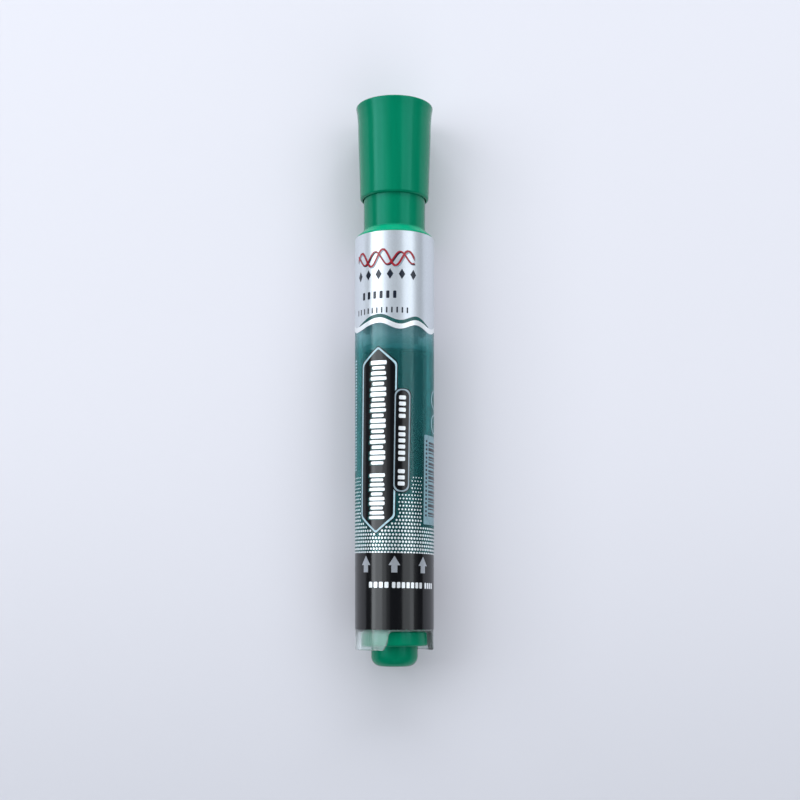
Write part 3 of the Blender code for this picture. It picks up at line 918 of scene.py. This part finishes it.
def make_stripes():
    """A white wave all round, with a dark green one on it in front that thins out to both sides."""
    reach = math.pi * SLEEVE.radius
    steps = 180
    green_left, green_right, green_height, green_taper = -10.2, 9.4, 0.85, 4
    places = [-reach + 2 * reach * i / steps for i in range(steps + 1)]

    def flat(across, rise):
        return across, wave_edge(across) + rise + across * math.sin(LABEL_SLANT)

    def stripe(stops, bottom, top):
        """Quads between two heights above the wave's edge, of which the top may vary."""
        return [
            [flat(a, top(a)), flat(b, top(b)), flat(b, bottom), flat(a, bottom)]
            for a, b in zip(stops, stops[1:])
        ]

    def green_top(across):
        share = min(across - green_left, green_right - across) / green_taper
        return WHITE_STRIPE + green_height * max(0.02, min(1.0, share) ** 0.6)

    wrapped("label_white_wave", [stripe(places, 0.02, lambda across: WHITE_STRIPE)], LAYER_1, PEARL)
    inner = [a for a in places if green_left < a < green_right]
    wrapped("label_green_wave", [stripe(inner, WHITE_STRIPE, green_top)], LAYER_1, GREEN_PRINT)


def make_panels():
    """Two black panels with pale outlines. Plain bars of differing sizes stand in for lettering."""
    wrapped("panel_black", [[lozenge()]], LAYER_1, BLACK_PRINT)
    wrapped("panel_outline", [ring_of(lozenge(0.22), lozenge(0.6))], LAYER_2, PALE_PRINT)
    wrapped("pill_black", [[pill(-0.12)]], LAYER_3, BLACK_PRINT)
    wrapped("pill_outline", [ring_of(pill(0.07), pill(0.35))], LAYER_4, GREY_PRINT)
    strokes, shadows = [], []
    across, fillet, shadow_left, shadow_down, shadow_spread = -3.8, 0.25, 0.3, 0.14, 0.1
    for start, pairs, pitch in ((3.6, 10, 2.41), (-22.0, 5, 2.14)):
        for index in range(2 * pairs):
            width, height = STROKES[index % len(STROKES)]
            station = start - pitch * (index // 2) + (0.27 if index % 2 == 0 else -0.23) * pitch
            height *= pitch
            strokes.append([bar(across, station, width, height, fillet)])
            width += shadow_spread
            height += shadow_spread
            shadows.append([bar(across - shadow_left, station - shadow_down, width, height, fillet)])
    wrapped("panel_stroke_shadows", shadows, LAYER_2, GREEN_PRINT)
    wrapped("panel_strokes", strokes, LAYER_3, PEARL)
    gaps = (4, 11)
    marks = [[bar(1.95, -3.7 - 1.4 * k, 1.6, 0.9, fillet)] for k in range(15) if k not in gaps]
    wrapped("pill_marks", marks, LAYER_4, PEARL)


def on_panels(across, station):
    """True where a dot would lie on a panel or touch one. The margin is a dot's reach."""
    margin = 0.3
    taper = max(0.0, min(1.0, (station - PANEL_BOTTOM) / PANEL_POINT))
    half = min(PANEL_HALF, (PANEL_HALF + 0.2) * taper)
    if station > PANEL_BOTTOM - margin and abs(across - PANEL_MIDDLE) < half + margin:
        return True
    if 0.0 < across < PILL_MIDDLE + PILL_HALF + margin and station > PILL_BOTTOM - 0.2 - margin:
        return True
    beside_code = CODE_LEFT - 0.1 - margin < across < CODE_RIGHT + 0.1 + margin
    return beside_code and station > CODE_BOTTOM - margin


def make_dots():
    """Rows of eight-sided dots that shrink as they leave the black band."""
    columns, row_pitch, rows = 76, 0.82, 22
    largest, shrink = 0.29, 0.15
    pitch = 2 * math.pi * SLEEVE.radius / columns
    dots = []
    for row in range(rows):
        station = BAND_TOP + 0.12 + row_pitch * row
        size = largest - shrink * (row / rows) ** 1.3
        shift = pitch / 3 * (row % 2)
        for column in range(columns):
            across = (column - columns / 2) * pitch + shift
            if on_panels(across, station):
                continue
            dot = arc_points((across, station), size, 22.5, 337.5, 7)
            dots.append([[(x, max(y, BAND_TOP + 0.02)) for x, y in dot]])
    wrapped("label_dots", dots, LAYER_1, PEARL)


def make_band_print():
    """Arrows all round the black band, and three groups of marks below them."""
    arrow_turn, arrow_tip = 4.2, -39.75
    turns = [math.radians(arrow_turn + 45 * k) for k in range(-4, 4)]
    wrapped("band_arrows", [[arrow(turn * SLEEVE.radius, arrow_tip)] for turn in turns], LAYER_1, ARROW_FOIL)
    marks_station, marks_height = -46.4, 1.35
    marks = []
    for start, count, pitch in ((-5.1, 4, 1.34), (0.6, 7, 1.12), (8.9, 4, 0.92)):
        for k in range(count):
            marks.append([bar(start + pitch * k, marks_station, 0.7 * pitch, marks_height, 0.2)])
    wrapped("band_marks", marks, LAYER_1, PEARL)


def make_silver_print():
    """A row of diamonds, a row of squares and a row of ticks on the silver."""
    diamonds_station, half_width, half_height = 24.4, 0.75, 1.2
    diamonds = []
    for k in range(6):
        x = -9.6 + 2.75 * k
        diamonds.append([[
            (x, diamonds_station + half_height),
            (x + half_width, diamonds_station),
            (x, diamonds_station - half_height),
            (x - half_width, diamonds_station),
        ]])
    wrapped("silver_diamonds", diamonds, LAYER_1, NAVY_PRINT)
    squares = [[bar(-8.2 + 1.6 * k, 19.7, 0.75, 1.7, 0.2)] for k in range(6)]
    wrapped("silver_squares", squares, LAYER_1, NAVY_PRINT)
    ticks = [[bar(-10.4 + 1.2 * k, 16.2, 0.35, 1.3, 0.1)] for k in range(12)]
    wrapped("silver_ticks", ticks, LAYER_1, NAVY_PRINT)


def make_code_panel():
    """A pale panel of stripes that hold no code, with a column of ticks beside them."""
    fillet = 0.3
    box = rounded_loop([
        (CODE_LEFT, CODE_TOP, fillet),
        (CODE_RIGHT, CODE_TOP, fillet),
        (CODE_RIGHT, CODE_BOTTOM, fillet),
        (CODE_LEFT, CODE_BOTTOM, fillet),
    ])
    wrapped("code_panel", [[box]], LAYER_1, CODE_PRINT)
    stripes_middle, stripes_width, stripes_margin = 14.2, 9.0, 1.5
    station = CODE_TOP - stripes_margin
    stripes = []
    while station > CODE_BOTTOM + 1.7:
        index = len(stripes)
        width = CODE_WIDTHS[index % len(CODE_WIDTHS)]
        stripes.append([bar(stripes_middle, station - width / 2, stripes_width, width, 0.05)])
        station -= width + CODE_WIDTHS[(index * 3 + 1) % len(CODE_WIDTHS)] * 0.9
    stripes += [[bar(8.85, -13.1 - 0.95 * k, 0.62, 0.5, 0.12)] for k in range(19)]
    wrapped("code_stripes", stripes, LAYER_2, NAVY_PRINT)


def make_side_marks():
    """Two thin rings above the stripes, and a column of ticks at the sleeve's left."""
    rings_middle, ring_outer, ring_inner = 13.2, 2.25, 1.95
    rings = []
    for station in (-3.1, -8.7):
        outer, inner = (
            arc_points((rings_middle, station), radius, 0, 350, 35) for radius in (ring_outer, ring_inner)
        )
        rings.append(ring_of(outer, inner))
    wrapped("round_marks", rings, LAYER_1, PALE_PRINT)
    column = [[bar(-12.0, 5.4 - 0.72 * k, 1.3, 0.34, 0.08)] for k in range(36)]
    wrapped("side_ticks", column, LAYER_1, PALE_PRINT)


def brush_wave(height, thickness, phase, shift=0.0):
    """A wavy stroke that thins out where it turns, moved right and down by the shift."""
    left, right, middle, steps, swings = -10.6, 4.4, 28.1, 60, 5
    quads, previous = [], None
    for i in range(steps + 1):
        share = i / steps
        turn = share * math.pi * swings + phase
        swing = height * math.sin(turn) * (0.75 + 0.25 * math.sin(share * math.pi))
        weight = thickness * (0.35 + 0.65 * abs(math.cos(turn)))
        across, station = left + (right - left) * share + shift, middle + swing - shift
        pair = ((across, station + weight), (across, station - weight))
        if previous:
            quads.append([previous[0], pair[0], pair[1], previous[1]])
        previous = pair
    return quads


def make_flourish():
    """Two crossing red brush waves, each on a dark shadow."""
    wrapped("flourish_shadow", [brush_wave(1.9, 0.52, 0, 0.24)], LAYER_1, GREY_PRINT)
    wrapped("flourish_shadow_thin", [brush_wave(1.5, 0.34, 2.0, 0.22)], LAYER_2, NAVY_PRINT)
    wrapped("flourish", [brush_wave(1.9, 0.5, 0)], LAYER_3, RED_PRINT)
    wrapped("flourish_thin", [brush_wave(1.5, 0.32, 2.0)], LAYER_4, RED_PRINT)


# --------------------------------------------------------------------------- studio

# Metres. The camera looks straight down, and its shift brings the whole marker into the frame.
FLOOR_RADIUS = 5.0
CAMERA_HEIGHT = 0.320
CAMERA_STATION = -0.0521
CAMERA_ACROSS = 0.0013
CAMERA_LENS = 61.5
CAMERA_SHIFT = 0.2625
LIGHT_COLOUR = (0.9, 0.955, 1.0)

# Soft boxes beside the marker: degrees from straight up, degrees wide, and radiance
SIDE_LIGHTS = [
    ("left_key", -62, 12, 4.2),
    ("left_second", -46, 20, 2.9),
    ("left_third", -30, 14, 1.4),
    ("left_last", -18, 10, 0.4),
    ("right_first", 34, 22, 1.5),
    ("right_second", 51, 12, 2.1),
    ("right_third", 63, 14, 0.2),
]


def make_floor():
    """A pale floor with a fine grain, with painted shade that makes it a little darker towards the button."""
    surface = Surface("studio_floor", rgb(226, 230, 240), 0.7, specular_ior_level=0.1)
    places = surface.node("ShaderNodeSeparateXYZ")
    surface.link(surface.coordinates(), places.inputs["Vector"])
    # Painted shade: between these stations the floor's colour darkens towards the button.
    sweep_start, sweep_end = -0.14, 0.01
    sweep = surface.node("ShaderNodeMapRange", interpolation_type="SMOOTHSTEP")
    sweep.inputs["From Min"].default_value = sweep_start
    sweep.inputs["From Max"].default_value = sweep_end
    surface.link(places.outputs["Y"], sweep.inputs["Value"])
    surface.vary_colour(sweep.outputs["Result"], rgb(200, 199, 205), rgb(217, 215, 221))
    surface.bump(surface.noise(2200, 4.0), 0.00002, 0.2)
    work = bmesh.new()
    bmesh.ops.create_circle(work, cap_ends=True, segments=96, radius=FLOOR_RADIUS)
    floor = new_piece("studio_floor", mesh_from(work, "studio_floor"), surface.material)


def area_light(name, centre, size, power, target=(0, 0, 0)):
    light = bpy.data.lights.new(name, "AREA")
    light.shape = "RECTANGLE"
    light.size, light.size_y = size
    light.energy = power
    light.color = LIGHT_COLOUR
    lamp = bpy.data.objects.new(name, light)
    bpy.context.scene.collection.objects.link(lamp)
    lamp.location = centre
    lamp.rotation_euler = (Vector(target) - Vector(centre)).to_track_quat("-Z", "Y").to_euler()
    lamp.visible_camera = False
    return lamp


def side_light(name, degrees, spread, radiance):
    """A long soft box beside the marker, so many degrees from straight up and so many degrees wide."""
    length, distance, forward = 0.8, 0.9, 0.25
    angle = math.radians(degrees)
    centre = (distance * math.sin(angle), forward, distance * math.cos(angle))
    width = 2 * distance * math.tan(math.radians(spread / 2))
    power = radiance * math.pi * width * length
    return area_light(name, centre, (length, width), power, target=(0, forward, 0))


def make_lights():
    for name, degrees, spread, radiance in SIDE_LIGHTS:
        side_light(name, degrees, spread, radiance)
    area_light("far_light", (0.03, 1.15, 0.75), (1.6, 0.5), 13)
    near_light = area_light("near_light", (0.6, -1.3, 0.9), (2.0, 1.4), 10)
    near_light.visible_glossy = False


def make_world():
    """Soft light from all round. Gloss mirrors a darker room, so that the side lights stand out."""
    world = bpy.data.worlds.new("studio")
    bpy.context.scene.world = world
    world.use_nodes = True
    nodes, links = world.node_tree.nodes, world.node_tree.links
    background = nodes["Background"]
    path = nodes.new("ShaderNodeLightPath")
    lit = (0.29, 0.30, 0.315, 1)
    dark_room = (0.075, 0.077, 0.083, 1)
    seen_through = rgb(200, 205, 214)
    backdrop = rgb(226, 230, 240)
    source = None
    rays = (("Is Glossy Ray", dark_room), ("Is Transmission Ray", seen_through), ("Is Camera Ray", backdrop))
    for ray, colour in rays:
        mix = nodes.new("ShaderNodeMix")
        mix.data_type = "RGBA"
        mix.inputs["A"].default_value = lit
        mix.inputs["B"].default_value = colour
        if source:
            links.new(source, mix.inputs["A"])
        links.new(path.outputs[ray], mix.inputs["Factor"])
        source = mix.outputs["Result"]
    links.new(source, background.inputs["Color"])


def make_camera():
    camera = bpy.data.cameras.new("camera")
    camera.lens = CAMERA_LENS
    camera.sensor_width = 36
    camera.shift_y = CAMERA_SHIFT
    camera.clip_start = 0.01
    camera.clip_end = 20
    holder = bpy.data.objects.new("camera", camera)
    bpy.context.scene.collection.objects.link(holder)
    holder.location = (CAMERA_ACROSS, CAMERA_STATION, CAMERA_HEIGHT + AXIS_HEIGHT * MM)
    bpy.context.scene.camera = holder


# The CAD nodes kept as they are, with their materials: they all lie inside the pieces above
HIDDEN = {
    "front_seal": RUBBER,
    "feed_wick": WICK_FELT,
    "valve_seat": RUBBER,
    "valve_poppet": VALVE,
    "spring_retainer": VALVE,
    "push_rod": VALVE,
    "rear_seal": RUBBER,
    "rod_guide": VALVE,
    "rod_seal": RUBBER,
}

make_cap()
make_front()
make_tail()
make_inside()
make_barrel()
make_sleeve()
make_stripes()
make_panels()
make_dots()
make_band_print()
make_silver_print()
make_code_panel()
make_side_marks()
make_flourish()
for node, material in HIDDEN.items():
    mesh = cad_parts[node].data
    mesh.materials.clear()
    mesh.materials.append(material)

make_floor()
make_lights()
make_world()
make_camera()
bpy.context.scene.view_settings.view_transform = "Standard"
